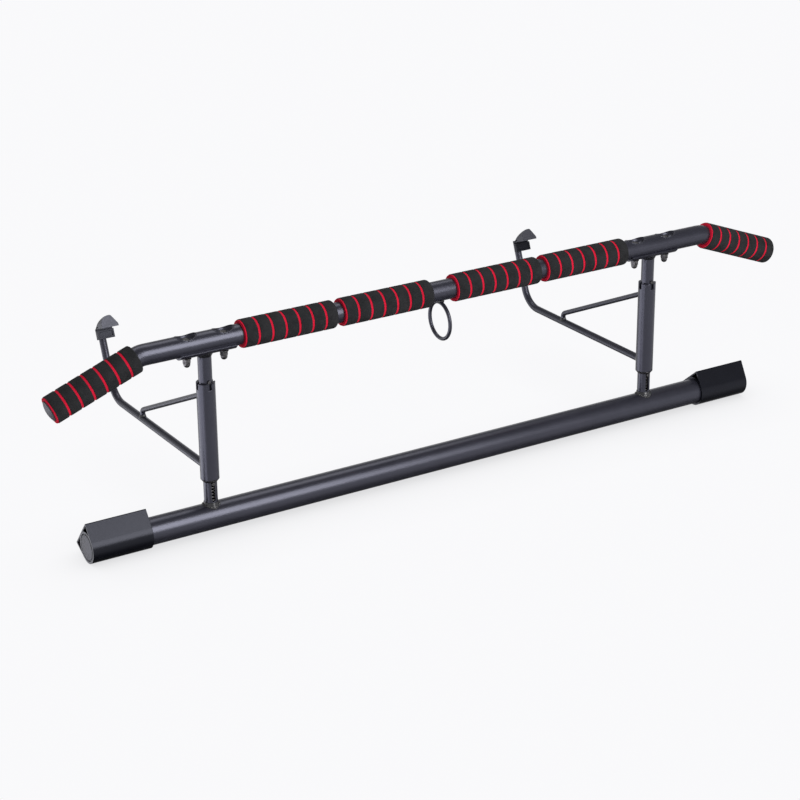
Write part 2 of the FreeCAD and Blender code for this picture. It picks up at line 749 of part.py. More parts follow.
def brace(side):
    """The brace from the sleeve down to the arm, with a short foot square to the arm."""
    points = [
        arm_point(side, 0, brace_height(0)),
        arm_point(side, BRACE_REACH, brace_height(BRACE_REACH)),
        arm_point(side, BRACE_REACH, arm_height(BRACE_REACH)),
    ]
    solid = bent_rod(points, BRACE_BEND_RADIUS, BRACE_R)
    solid = solid.cut(rod(SLEEVE_R, post_axis(side, 0), post_axis(side, BAR_HEIGHT)))
    return max(solid.cut(rod(*lower_run(side))).Solids, key=lambda piece: piece.Volume)


def arm_welds(side):
    """The beads where the arm and the brace meet the sleeve and where the brace's foot meets the arm."""
    sleeve_solid = rod(SLEEVE_R, post_axis(side, 0), post_axis(side, BAR_HEIGHT))
    lower_rod = rod(*lower_run(side))
    brace_foot = arm_point(side, BRACE_REACH, brace_height(BRACE_REACH))
    runs = (lower_run(side), (BRACE_R, arm_point(side, 0, brace_height(0)), brace_foot))
    beads = []
    for radius, start, end in runs:
        along = (end - start).normalize()
        reach = SLEEVE_R / math.cos(along.getAngle(Vector(0, 1, 0)))
        first = start + along * (reach - 1.5 * ROD_WELD_LEG)
        bead = weld_cone(radius + ROD_WELD_LEG, radius + 0.3, first, first + along * (2.5 * ROD_WELD_LEG))
        beads.append(bead.cut(sleeve_solid).cut(rod(radius, start, end)))
    top = arm_point(side, BRACE_REACH, arm_height(BRACE_REACH) + ARM_R)
    foot = weld_cone(
        BRACE_R + ROD_WELD_LEG * 0.8,
        BRACE_R + 0.2,
        top - Vector(0, 0, 1.5 * ROD_WELD_LEG),
        top + Vector(0, 0, ROD_WELD_LEG * 0.8),
    )
    foot = foot.cut(rod(BRACE_R, top - Vector(0, 0, ARM_OD), top + Vector(0, 0, ARM_OD)))
    beads.append(foot.cut(lower_rod))
    return beads


def on_hook(shape, side):
    """A hook shape drawn with x across, y out from the arm and z up it, moved to its arm."""
    return placed(shape, hook_root(side), Vector(-1, 0, 0), lean())


def mirrored_x(point):
    """A hook point with its across distance turned to the drawing frame of on_hook."""
    return Vector(-point.x, point.y, point.z)


def hook_outline():
    """The D-shaped face of the hood: upright on one side, round on top, sloping to a blunt tip."""
    half = HOOK_WIDTH / 2
    tip = HOOD_HEIGHT * 0.28
    points = {
        "foot": Vector(-half, 0, 0),
        "shoulder": Vector(-half, 0, HOOD_SIDE_HEIGHT),
        "bulge": Vector(-half * 0.65, 0, HOOD_HEIGHT * 0.85),
        "crown": Vector(0, 0, HOOD_HEIGHT),
        "brow": Vector(half * 0.24, 0, HOOD_HEIGHT * 0.96),
        "slope": Vector(half * 0.37, 0, HOOD_HEIGHT * 0.86),
        "tip": Vector(half * 0.91, 0, tip),
        "nose": Vector(half * 0.98, 0, tip * 0.62),
        "end": Vector(half, 0, tip * 0.3),
        "heel": Vector(half, 0, 0),
    }
    p = {name: mirrored_x(point) for name, point in points.items()}
    return [
        Part.LineSegment(p["foot"], p["shoulder"]).toShape(),
        Part.Arc(p["shoulder"], p["bulge"], p["crown"]).toShape(),
        Part.Arc(p["crown"], p["brow"], p["slope"]).toShape(),
        Part.LineSegment(p["slope"], p["tip"]).toShape(),
        Part.Arc(p["tip"], p["nose"], p["end"]).toShape(),
        Part.LineSegment(p["end"], p["heel"]).toShape(),
        Part.LineSegment(p["heel"], p["foot"]).toShape(),
    ]


def tongue(growth):
    """The bracket's tongue inside the hood, grown by a clearance for its slot."""
    half = HOOD_TONGUE_WIDTH / 2 + growth
    return block((-half, half), (HOOK_BACK, HOOD_TONGUE_REACH + growth), (0, HOOD_TONGUE_THICKNESS + growth))


def hook_hood(side):
    """The hood: the D-shaped front drawn back to a curved back, with a slot for the tongue."""
    face = Part.Face(Part.Wire(hook_outline()))
    hood = face.extrude(Vector(0, HOOD_FRONT, 0))
    half = HOOK_WIDTH / 2 + 1
    start = HOOK_BACK + 1.4
    back = [
        Part.LineSegment(Vector(half, start, 0), Vector(half, start + 1.4, 0.6)).toShape(),
        Part.Arc(
            Vector(half, start + 1.4, 0.6),
            Vector(half, (start + HOOD_FRONT) / 2, HOOD_HEIGHT * 0.52),
            Vector(half, HOOD_FRONT, HOOD_HEIGHT + 0.2),
        ).toShape(),
        Part.LineSegment(Vector(half, HOOD_FRONT, HOOD_HEIGHT + 0.2), Vector(half, HOOD_FRONT, 0)).toShape(),
        Part.LineSegment(Vector(half, HOOD_FRONT, 0), Vector(half, start, 0)).toShape(),
    ]
    hood = hood.common(Part.Face(Part.Wire(back)).extrude(Vector(-2 * half, 0, 0)))
    hood = hood.cut(tongue(SEAT))
    pocket = prism(
        [
            Vector(half, start + 2.0, HOOD_TONGUE_THICKNESS * 0.2),
            Vector(half, start + 11.5, HOOD_TONGUE_THICKNESS),
            Vector(half, start + 6.0, HOOD_TONGUE_THICKNESS * 1.9),
        ],
        Vector(-HOOD_POCKET_DEPTH - 1, 0, 0),
    )
    return on_hook(max(hood.cut(pocket).Solids, key=lambda piece: piece.Volume), side)


def hook_bracket(side):
    """The steel behind the hook: a web welded to the arm, a plate behind the rubber pad and a tongue."""
    half = HOOK_WIDTH / 2
    plate = block((-half, half), (HOOK_BACK, HOOK_BACK + HOOK_PLATE), (-HOOK_DROP, 0))
    web_half = HOOK_WEB_WIDTH / 2
    web = block((-web_half, web_half), (0, HOOK_BACK), (-HOOK_DROP, HOOD_TONGUE_THICKNESS))
    bracket = plate.fuse(web).fuse(tongue(0))
    bracket = bracket.cut(rod(ARM_R, Vector(0, 0, -ARM_RISE), Vector(0, 0, -ARM_STUB)))
    return on_hook(bracket.removeSplitter(), side)


def hook_pad(side):
    """The rubber pad in front of the bracket's plate, with a raised border on its face."""
    half = HOOK_WIDTH / 2
    back = HOOK_BACK + HOOK_PLATE
    pad = block((-half, half), (back, HOOK_PAD_FRONT), (-HOOK_DROP, -HOOK_PAD_GAP))
    face = block(
        (-half + HOOK_PAD_BORDER, half - HOOK_PAD_BORDER),
        (HOOK_PAD_FRONT - HOOK_PAD_RIM, HOOK_PAD_FRONT + 1),
        (-HOOK_DROP + HOOK_PAD_BORDER, -HOOK_PAD_GAP - HOOK_PAD_BORDER),
    )
    neck = block((-half + 1, half - 1), (back, HOOK_PAD_FRONT - 1.6), (-HOOK_PAD_GAP, 0))
    return on_hook(pad.cut(face).fuse(neck).removeSplitter(), side)


# ----------------------------------------------------------------------------------------------------
# Assembly
# ----------------------------------------------------------------------------------------------------


def build():
    """Every node's name with its list of solids."""
    nodes = {"lower_tube": [lower_tube()], "upper_bar": [upper_bar()]}
    nodes["hanging_ring"] = [hanging_ring()]
    nodes["ring_weld"] = [ring_weld()]
    for name, start, along, length in grip_places():
        rings, liner = grip(length)
        nodes[f"{name}_grip_foam"] = [placed(ring, start, along) for ring in rings]
        nodes[f"{name}_grip_liner"] = [placed(liner, start, along)]
    for name, side in SIDES:
        nodes[f"{name}_lower_plug"] = [lower_plug(side)]
        nodes[f"{name}_door_pad"] = [door_pad(name, side)]
        nodes[f"{name}_post"] = [post(side)]
        nodes[f"{name}_post_welds"] = post_welds(side)
        nodes[f"{name}_bar_plug"] = [bar_plug(side)]
        nodes[f"{name}_saddle_plate"] = [saddle_plate(name, side)]
        nodes[f"{name}_saddle_bolts"] = saddle_bolts(name)
        nodes[f"{name}_saddle_washers"] = saddle_washers(name)
        nodes[f"{name}_acorn_nuts"] = acorn_nuts(name)
        nodes[f"{name}_lock_pin"] = [lock_pin(side)]
        nodes[f"{name}_lift_pin"] = [lift_pin(side)]
        nodes[f"{name}_lift_collar"] = [lift_collar(side)]
        nodes[f"{name}_lift_spring"] = [lift_spring(side)]
        nodes[f"{name}_sleeve"] = [sleeve(side)]
        nodes[f"{name}_arm"] = [arm(side)]
        nodes[f"{name}_brace"] = [brace(side)]
        nodes[f"{name}_arm_welds"] = arm_welds(side)
        nodes[f"{name}_hook_bracket"] = [hook_bracket(side)]
        nodes[f"{name}_hook_hood"] = [hook_hood(side)]
        nodes[f"{name}_hook_pad"] = [hook_pad(side)]
    return nodes


def export(nodes):
    """Write every node about the centre of the bottom of the whole bar's box."""
    box = FreeCAD.BoundBox()
    for solids in nodes.values():
        for solid in solids:
            box.add(solid.optimalBoundingBox(False, False))
    origin = Vector(box.Center.x, box.Center.y, box.ZMin)
    print(f"origin {origin.x:.4f} {origin.y:.4f} {origin.z:.4f}")
    print(f"size {box.XLength:.3f} {box.YLength:.3f} {box.ZLength:.3f}")
    for name, solids in nodes.items():
        moved = []
        for solid in solids:
            copy = solid.copy()
            copy.translate(origin * -1)
            moved.extend(copy.Solids)
        shape = moved[0] if len(moved) == 1 else Part.makeCompound(moved)
        shape.exportStep(f"parts/{name}.step")
        volume = sum(solid.Volume for solid in moved)
        print(f"{name} {len(moved)} {volume:.2f} {all(solid.isValid() for solid in moved)}")


export(build())
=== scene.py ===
"""Doorway pull up bar: finishes, foam grips and the pale studio that shows them."""

import json
import logging
import math
from dataclasses import dataclass, field
from enum import Enum
from typing import Any, Iterable, Sequence, Union

import bmesh
import bpy
from mathutils import Matrix, Vector


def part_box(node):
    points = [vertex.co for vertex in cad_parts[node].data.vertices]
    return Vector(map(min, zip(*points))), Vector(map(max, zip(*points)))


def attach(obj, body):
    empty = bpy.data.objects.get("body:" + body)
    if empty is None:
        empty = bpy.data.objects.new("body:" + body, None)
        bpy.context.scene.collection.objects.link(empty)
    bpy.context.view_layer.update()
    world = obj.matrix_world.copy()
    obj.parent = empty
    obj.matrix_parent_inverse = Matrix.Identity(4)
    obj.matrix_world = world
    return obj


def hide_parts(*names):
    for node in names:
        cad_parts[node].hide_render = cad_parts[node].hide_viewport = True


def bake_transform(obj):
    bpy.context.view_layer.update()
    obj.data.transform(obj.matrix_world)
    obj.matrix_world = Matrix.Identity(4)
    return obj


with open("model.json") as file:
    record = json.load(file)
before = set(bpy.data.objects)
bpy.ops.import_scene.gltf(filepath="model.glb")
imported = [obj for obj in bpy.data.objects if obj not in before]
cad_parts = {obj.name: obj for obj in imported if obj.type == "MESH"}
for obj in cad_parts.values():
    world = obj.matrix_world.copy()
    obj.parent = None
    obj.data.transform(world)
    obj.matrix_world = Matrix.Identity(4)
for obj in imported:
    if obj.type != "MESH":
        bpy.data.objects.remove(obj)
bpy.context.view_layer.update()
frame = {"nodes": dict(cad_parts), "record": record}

LOG = logging.getLogger("pull_up_bar")
MM = 0.001
Colour = tuple[float, float, float]
Input = Union["Value", float, int, Sequence[float], str, None]


# --------------------------------------------------------------------------------------------------------
# Shader expressions
# --------------------------------------------------------------------------------------------------------


class Value:
    """A number socket that can be used in Python sums."""

    def __init__(self, graph: "Graph", socket: bpy.types.NodeSocket) -> None:
        """Wrap one output socket of a graph."""
        self.graph = graph
        self.socket = socket

    def _sum(self, operation: str, first: Input, second: Input) -> "Value":
        """Add one Math node and return its output."""
        return self.graph.node("ShaderNodeMath", {"operation": operation}, {0: first, 1: second})

    def __add__(self, other: Input) -> "Value":
        """Add a value or a number."""
        return self._sum("ADD", self, other)

    def __sub__(self, other: Input) -> "Value":
        """Take a value or a number away."""
        return self._sum("SUBTRACT", self, other)

    def __rsub__(self, other: Input) -> "Value":
        """Take this value away from a number."""
        return self._sum("SUBTRACT", other, self)

    def __mul__(self, other: Input) -> "Value":
        """Multiply by a value or a number."""
        return self._sum("MULTIPLY", self, other)

    def __truediv__(self, other: Input) -> "Value":
        """Divide by a value or a number."""
        return self._sum("DIVIDE", self, other)

    __radd__ = __add__
    __rmul__ = __mul__

    def above(self, low: float, high: float) -> "Value":
        """Rise smoothly from 0 at low to 1 at high."""
        settings = {"interpolation_type": "SMOOTHSTEP"}
        return self.graph.node("ShaderNodeMapRange", settings, {"Value": self, "From Min": low, "From Max": high})


class Graph:
    """Makes and links the nodes of one material or world."""

    def __init__(self, tree: bpy.types.NodeTree) -> None:
        """Start an empty graph on a node tree."""
        self.tree = tree
        tree.nodes.clear()

    def node(
        self,
        kind: str,
        settings: dict[str, Any] | None = None,
        inputs: dict[Union[str, int], Input] | None = None,
        output: Union[str, int] = 0,
    ) -> Value:
        """Make one node.

        Args:
            kind: The node's Blender type.
            settings: Values of its own properties, set first.
            inputs: Numbers or links for its sockets, by name or number.
            output: Which output to return.

        Returns:
            The chosen output.
        """
        made = self.tree.nodes.new(kind)
        for name, value in (settings or {}).items():
            setattr(made, name, value)
        for name, value in (inputs or {}).items():
            if isinstance(value, Value):
                self.tree.links.new(value.socket, made.inputs[name])
            elif value is not None:
                made.inputs[name].default_value = value
        return Value(self, made.outputs[output])

    def end(self, kind: str, surface: Value) -> None:
        """Link a shader to a new output node of the given type."""
        made = self.tree.nodes.new(kind)
        self.tree.links.new(surface.socket, made.inputs["Surface"])

    def place(self) -> Value:
        """The point on the object, in metres."""
        return self.node("ShaderNodeTexCoord", output="Object")

    def noise(self, scale: float, detail: float = 3.0, stretch: Sequence[float] = (1, 1, 1)) -> Value:
        """A noise pattern.

        Args:
            scale: Features per metre.
            detail: Octaves of finer noise.
            stretch: Scale along each axis.

        Returns:
            The noise, about 0 to 1.
        """
        place = self.node("ShaderNodeMapping", inputs={"Vector": self.place(), "Scale": stretch})
        return self.node("ShaderNodeTexNoise", inputs={"Vector": place, "Scale": scale, "Detail": detail})

    def blend(self, factor: Input, low: Colour, high: Colour) -> Value:
        """Mix two colours by a factor."""
        inputs = {0: factor, 6: (*low, 1.0), 7: (*high, 1.0)}
        return self.node("ShaderNodeMix", {"data_type": "RGBA"}, inputs, output=2)

    def bump(self, height: Value, distance: float, edge: float = 0.0006) -> Value:
        """A bumped normal over softened edges.

        Args:
            height: The height pattern.
            distance: Its depth in metres.
            edge: The radius that edges look rounded to, in metres.

        Returns:
            The normal.
        """
        soft = self.node("ShaderNodeBevel", {"samples": 4}, {"Radius": edge})
        inputs = {"Height": height, "Distance": distance, "Strength": 1.0, "Normal": soft}
        return self.node("ShaderNodeBump", inputs=inputs)


# --------------------------------------------------------------------------------------------------------
# Finishes
# --------------------------------------------------------------------------------------------------------


@dataclass(frozen=True)
class SatinPaint:
    """Smooth charcoal powder paint with a faint orange peel and fine dust."""

    name: str = "charcoal_paint"
    dark: Colour = (0.012, 0.012, 0.017)
    light: Colour = (0.019, 0.019, 0.027)
    roughness: float = 0.27
    specular: float = 0.8
    tint: Colour = (0.80, 0.81, 1.0)
    peel: float = 0.000004
    edge: float = 0.0016

    def build(self) -> bpy.types.Material:
        """Make the material."""
        material, graph = new_material(self.name)
        cloud = graph.noise(35, 4)
        peel = graph.noise(900, 2)
        scuff = graph.noise(160, 6, (0.25, 1, 1)).above(0.6, 0.78)
        inputs = {
            "Base Color": graph.blend(cloud, self.dark, self.light),
            "Roughness": self.roughness + cloud * 0.05 + scuff * 0.05,
            "Specular IOR Level": self.specular,
            "Specular Tint": (*self.tint, 1.0),
            "Normal": graph.bump(peel, self.peel, self.edge),
        }
        return finished(material, graph, inputs)


@dataclass(frozen=True)
class WeldPaint:
    """The same paint over a rippled weld bead."""

    name: str = "weld_metal"
    dark: Colour = (0.005, 0.005, 0.007)
    light: Colour = (0.014, 0.014, 0.018)
    roughness: float = 0.14
    specular: float = 0.8
    ripple: float = 0.0004

    def build(self) -> bpy.types.Material:
        """Make the material."""
        material, graph = new_material(self.name)
        beads = graph.noise(330, 1.5)
        fine = graph.noise(1400, 2)
        inputs = {
            "Base Color": graph.blend(beads.above(0.35, 0.7), self.dark, self.light),
            "Roughness": self.roughness + fine * 0.12,
            "Specular IOR Level": self.specular,
            "Normal": graph.bump(beads + fine * 0.15, self.ripple),
        }
        return finished(material, graph, inputs)


@dataclass(frozen=True)
class PlatedSteel:
    """Dark plated steel of bolts, nuts, pins and springs."""

    name: str = "plated_steel"
    dark: Colour = (0.055, 0.053, 0.055)
    light: Colour = (0.17, 0.165, 0.17)
    roughness: float = 0.26

    def build(self) -> bpy.types.Material:
        """Make the material."""
        material, graph = new_material(self.name)
        stain = graph.noise(420, 4)
        inputs = {
            "Base Color": graph.blend(stain.above(0.3, 0.7), self.dark, self.light),
            "Metallic": 0.92,
            "Roughness": self.roughness + stain * 0.14,
            "Normal": graph.bump(graph.noise(2200, 2), 0.00001),
        }
        return finished(material, graph, inputs)


@dataclass(frozen=True)
class Foam:
    """Closed-cell foam: matt, with fine open pores on its skin."""

    name: str
    dark: Colour
    light: Colour
    roughness: float = 0.8
    pore: float = 0.0001
    pores_per_metre: float = 1100.0

    def build(self) -> bpy.types.Material:
        """Make the material."""
        material, graph = new_material(self.name)
        inputs = {"Vector": graph.place(), "Scale": self.pores_per_metre}
        cells = graph.node("ShaderNodeTexVoronoi", {"feature": "F1"}, inputs)
        cloud = graph.noise(70, 4)
        tone = cloud * 0.6 + cells * 0.4
        shader = {
            "Base Color": graph.blend(tone.above(0.15, 0.75), self.dark, self.light),
            "Roughness": self.roughness + cells * 0.12,
            "Specular IOR Level": 0.2,
            "Normal": graph.bump(cells + cloud * 0.3, self.pore),
        }
        return finished(material, graph, shader)


@dataclass(frozen=True)
class Moulded:
    """Moulded rubber or plastic with a fine spark-eroded grain."""

    name: str
    dark: Colour
    light: Colour
    roughness: float
    grain: float
    specular: float = 0.5
    tint: Colour = (0.82, 0.84, 1.0)

    def build(self) -> bpy.types.Material:
        """Make the material."""
        material, graph = new_material(self.name)
        grain = graph.noise(1700, 3)
        cloud = graph.noise(50, 3)
        shader = {
            "Base Color": graph.blend(cloud, self.dark, self.light),
            "Roughness": self.roughness + grain * 0.14,
            "Specular IOR Level": self.specular,
            "Specular Tint": (*self.tint, 1.0),
            "Normal": graph.bump(grain, self.grain),
        }
        return finished(material, graph, shader)


def new_material(name: str) -> tuple[bpy.types.Material, Graph]:
    """Start an empty node material.

    Args:
        name: The finish's name.

    Returns:
        The material and the graph that fills it.
    """
    material = bpy.data.materials.new(name + "_finish")
    material.use_nodes = True
    return material, Graph(material.node_tree)


def finished(material: bpy.types.Material, graph: Graph, inputs: dict[str, Input]) -> bpy.types.Material:
    """End a material with one Principled shader.

    Args:
        material: The material to finish.
        graph: Its graph.
        inputs: The shader's values and links.

    Returns:
        The same material.
    """
    graph.end("ShaderNodeOutputMaterial", graph.node("ShaderNodeBsdfPrincipled", inputs=inputs))
    return material


class Finish(Enum):
    """Every finish of the bar, by the record's material slot."""

    CHARCOAL = SatinPaint()
    WELD = WeldPaint()
    PLATED = PlatedSteel()
    BLACK_FOAM = Foam("black_foam", (0.004, 0.0045, 0.005), (0.022, 0.022, 0.024))
    RED_FOAM = Foam("red_foam", (0.42, 0.0015, 0.018), (0.62, 0.006, 0.036))
    RUBBER = Moulded("black_rubber", (0.001, 0.0012, 0.003), (0.003, 0.0035, 0.006), 0.22, 0.000006, 0.32)
    HOOD = Moulded("dark_plastic", (0.028, 0.028, 0.034), (0.05, 0.05, 0.058), 0.28, 0.00002, 0.6)
    PLUG = Moulded("grey_plastic", (0.05, 0.05, 0.056), (0.075, 0.075, 0.082), 0.40, 0.00002, 0.4)

    @property
    def slot(self) -> str:
        """The record's material slot."""
        return self.value.name


class Paintbox:
    """Builds each finish once and puts it on pieces."""

    def __init__(self) -> None:
        """Start with no materials made."""
        self.made: dict[Finish, bpy.types.Material] = {}

    def material(self, finish: Finish) -> bpy.types.Material:
        """The material of a finish, made when first asked for."""
        if finish not in self.made:
            self.made[finish] = finish.value.build()
        return self.made[finish]

    def dress_node(self, name: str, slot: str) -> None:
        """Put the finish of a material slot on a CAD node.

        Args:
            name: The node.
            slot: Its material slot in the record.
        """
        finish = next(one for one in Finish if one.slot == slot)
        materials = frame["nodes"][name].data.materials
        for index in range(len(materials)):
            materials[index] = self.material(finish)


# --------------------------------------------------------------------------------------------------------
# Meshes
# --------------------------------------------------------------------------------------------------------


def lathe(name: str, outline: Sequence[tuple[float, float]], segments: int = 96) -> bpy.types.Object:
    """Turn a closed outline about the X axis.

    Args:
        name: The new object's name.
        outline: (along, radius) points in metres, in order.
        segments: Steps round the axis.

    Returns:
        The new object, with smooth round faces and sharp corners over 35 degrees.
    """
    mesh = bpy.data.meshes.new(name)
    shape = bmesh.new()
    rows = []
    for index in range(segments):
        angle = 2 * math.pi * index / segments
        rows.append([shape.verts.new((x, r * math.cos(angle), r * math.sin(angle))) for x, r in outline])
    for row, following in zip(rows, rows[1:] + rows[:1]):
        for index in range(len(outline)):
            nearby = (index + 1) % len(outline)
            shape.faces.new((row[index], row[nearby], following[nearby], following[index]))
    bmesh.ops.recalc_face_normals(shape, faces=shape.faces)
    for face in shape.faces:
        face.smooth = True
    shape.to_mesh(mesh)
    shape.free()
    mesh.set_sharp_from_angle(angle=math.radians(35))
    made = bpy.data.objects.new(name, mesh)
    bpy.context.scene.collection.objects.link(made)
    return made


def rounded_corner(x: float, r: float, radius: float, start: float, steps: int = 4) -> list[tuple[float, float]]:
    """Points of a quarter circle.

    Args:
        x: Its centre along the axis.
        r: Its centre's distance from the axis.
        radius: Its radius.
        start: The angle of its first point, in degrees, from +X towards the outside.
        steps: How many edges it has.

    Returns:
        The points, turning back towards the axis by 90 degrees less than start.
    """
    points = []
    for index in range(steps + 1):
        angle = math.radians(start - 90 * index / steps)
        points.append((x + radius * math.cos(angle), r + radius * math.sin(angle)))
    return points


class ShapeTree:
    """A Geometry Nodes tree with named inputs that builds a piece, moves it and gives it its material."""

    name = "shape"
    kinds: dict[str, str] = {}

    def __init__(self) -> None:
        """Build the tree once."""
        self.tree = bpy.data.node_groups.new(self.name, "GeometryNodeTree")
        face = self.tree.interface
        face.new_socket("Geometry", in_out="OUTPUT", socket_type="NodeSocketGeometry")
        placing = {"Origin": "NodeSocketVector", "Turn": "NodeSocketVector", "Material": "NodeSocketMaterial"}
        self.names = {}
        for name, kind in {**self.kinds, **placing}.items():
            self.names[name] = face.new_socket(name, in_out="INPUT", socket_type=kind).identifier
        given = self.tree.nodes.new("NodeGroupInput").outputs
        real = self.node("GeometryNodeRealizeInstances", {"Geometry": self.shape(given)})
        euler = self.node("FunctionNodeEulerToRotation", {"Euler": given["Turn"]})
        place = {"Geometry": real, "Translation": given["Origin"], "Rotation": euler}
        placed = self.node("GeometryNodeTransform", place)
        dressed = self.node("GeometryNodeSetMaterial", {"Geometry": placed, "Material": given["Material"]})
        self.tree.links.new(dressed, self.tree.nodes.new("NodeGroupOutput").inputs[0])

    def shape(self, given: bpy.types.NodeOutputs) -> bpy.types.NodeSocket:
        """The unplaced piece, from the tree's inputs."""
        raise NotImplementedError

    def node(
        self,
        kind: str,
        inputs: dict[Union[str, int], Any] | None = None,
        settings: dict[str, Any] | None = None,
    ) -> bpy.types.NodeSocket:
        """Make one node.

        Args:
            kind: The node's Blender type.
            inputs: Numbers or sockets for its inputs, by name or number.
            settings: Values of its own properties, set first.

        Returns:
            Its first enabled output.
        """
        made = self.tree.nodes.new(kind)
        for name, value in (settings or {}).items():
            setattr(made, name, value)
        for name, value in (inputs or {}).items():
            if isinstance(value, bpy.types.NodeSocket):
                self.tree.links.new(value, made.inputs[name])
            else:
                made.inputs[name].default_value = value
        return next(socket for socket in made.outputs if socket.enabled)

    def height_over_tube(self, radius: bpy.types.NodeSocket) -> bpy.types.NodeSocket:
        """The way up from each point to the top of a tube along X.

        Args:
            radius: The tube's radius.

        Returns:
            An offset along Z.
        """
        apart = self.tree.nodes.new("ShaderNodeSeparateXYZ")
        self.tree.links.new(self.node("GeometryNodeInputPosition"), apart.inputs[0])
        across = apart.outputs["Y"]
        square = self.node("ShaderNodeMath", {0: across, 1: across}, {"operation": "MULTIPLY"})
        whole = self.node("ShaderNodeMath", {0: radius, 1: radius}, {"operation": "MULTIPLY"})
        rest = self.node("ShaderNodeMath", {0: whole, 1: square}, {"operation": "SUBTRACT"})
        rise = self.node("ShaderNodeMath", {0: rest}, {"operation": "SQRT"})
        return self.node("ShaderNodeCombineXYZ", {"Z": rise})

    def build(self, name: str, **values: Any) -> bpy.types.Object:
        """Make one piece as a plain mesh.

        Args:
            name: The new object's name.
            values: The tree's inputs by name.

        Returns:
            The piece, with no modifier left on it.
        """
        made = bpy.data.objects.new(name, bpy.data.meshes.new(name + "_seed"))
        bpy.context.scene.collection.objects.link(made)
        modifier = made.modifiers.new("shape", "NODES")
        modifier.node_group = self.tree
        for key, value in values.items():
            modifier[self.names[key]] = value
        depsgraph = bpy.context.evaluated_depsgraph_get()
        mesh = bpy.data.meshes.new_from_object(made.evaluated_get(depsgraph))
        made.modifiers.clear()
        made.data = mesh
        mesh.name = name
        return made


class RingRow(ShapeTree):
    """One ring, repeated along +X."""

    name = "ring_row"
    kinds = {"Ring": "NodeSocketObject", "Count": "NodeSocketInt", "Pitch": "NodeSocketVector"}

    def shape(self, given: bpy.types.NodeOutputs) -> bpy.types.NodeSocket:
        """A line of points with a ring on each."""
        line = self.node("GeometryNodeMeshLine", {"Count": given["Count"], "Offset": given["Pitch"]})
        info = self.tree.nodes.new("GeometryNodeObjectInfo")
        self.tree.links.new(given["Ring"], info.inputs["Object"])
        rings = {"Points": line, "Instance": info.outputs["Geometry"]}
        return self.node("GeometryNodeInstanceOnPoints", rings)


class Coil(ShapeTree):
    """A round-wire coil standing on its first turn."""

    name = "coil"
    kinds = {
        "Radius": "NodeSocketFloat",
        "Height": "NodeSocketFloat",
        "Turns": "NodeSocketFloat",
        "Wire": "NodeSocketFloat",
    }

    def shape(self, given: bpy.types.NodeOutputs) -> bpy.types.NodeSocket:
        """A spiral of even radius, swept with the wire."""
        path = {
            "Resolution": 32,
            "Rotations": given["Turns"],
            "Start Radius": given["Radius"],
            "End Radius": given["Radius"],
            "Height": given["Height"],
        }
        wire = self.node("GeometryNodeCurvePrimitiveCircle", {"Resolution": 14, "Radius": given["Wire"]})
        sweep = {"Curve": self.node("GeometryNodeCurveSpiral", path), "Profile Curve": wire, "Fill Caps": True}
        return self.node("GeometryNodeSetShadeSmooth", {"Geometry": self.node("GeometryNodeCurveToMesh", sweep)})


class SaddleBead(ShapeTree):
    """Weld lumps in a circle about +Z that lies over a tube along X."""

    name = "saddle_bead"
    kinds = {
        "Radius": "NodeSocketFloat",
        "Tube": "NodeSocketFloat",
        "Lump": "NodeSocketFloat",
        "Lumps": "NodeSocketInt",
        "Seed": "NodeSocketInt",
    }

    def shape(self, given: bpy.types.NodeOutputs) -> bpy.types.NodeSocket:
        """Lumps of slightly different sizes, each resting on the tube's surface."""
        circle = self.node("GeometryNodeMeshCircle", {"Vertices": given["Lumps"], "Radius": given["Radius"]})
        up = self.height_over_tube(given["Tube"])
        ring = self.node("GeometryNodeSetPosition", {"Geometry": circle, "Offset": up})
        lump = self.node("GeometryNodeMeshIcoSphere", {"Radius": given["Lump"], "Subdivisions": 4})
        sizes = {0: (0.85, 0.85, 0.75), 1: (1.25, 1.25, 1.2), "Seed": given["Seed"]}
        size = self.node("FunctionNodeRandomValue", sizes, {"data_type": "FLOAT_VECTOR"})
        lumps = {"Points": ring, "Instance": lump, "Scale": size}
        return self.node(
            "GeometryNodeSetShadeSmooth",
            {"Geometry": self.node("GeometryNodeInstanceOnPoints", lumps)},
        )


class OvalLip(ShapeTree):
    """A raised oval rim about +Z that lies over a tube along X."""

    name = "oval_lip"
    kinds = {"Size": "NodeSocketVector", "Tube": "NodeSocketFloat", "Wire": "NodeSocketFloat"}

    def shape(self, given: bpy.types.NodeOutputs) -> bpy.types.NodeSocket:
        """A stretched circle laid on the tube and swept with the rim's section."""
        circle = self.node("GeometryNodeCurvePrimitiveCircle", {"Resolution": 72, "Radius": 1.0})
        oval = self.node("GeometryNodeTransform", {"Geometry": circle, "Scale": given["Size"]})
        up = self.height_over_tube(given["Tube"])
        laid = self.node("GeometryNodeSetPosition", {"Geometry": oval, "Offset": up})
        wire = self.node("GeometryNodeCurvePrimitiveCircle", {"Resolution": 14, "Radius": given["Wire"]})
        rim = self.node("GeometryNodeCurveToMesh", {"Curve": laid, "Profile Curve": wire})
        return self.node("GeometryNodeSetShadeSmooth", {"Geometry": rim})


# --------------------------------------------------------------------------------------------------------
# Foam grips
# --------------------------------------------------------------------------------------------------------


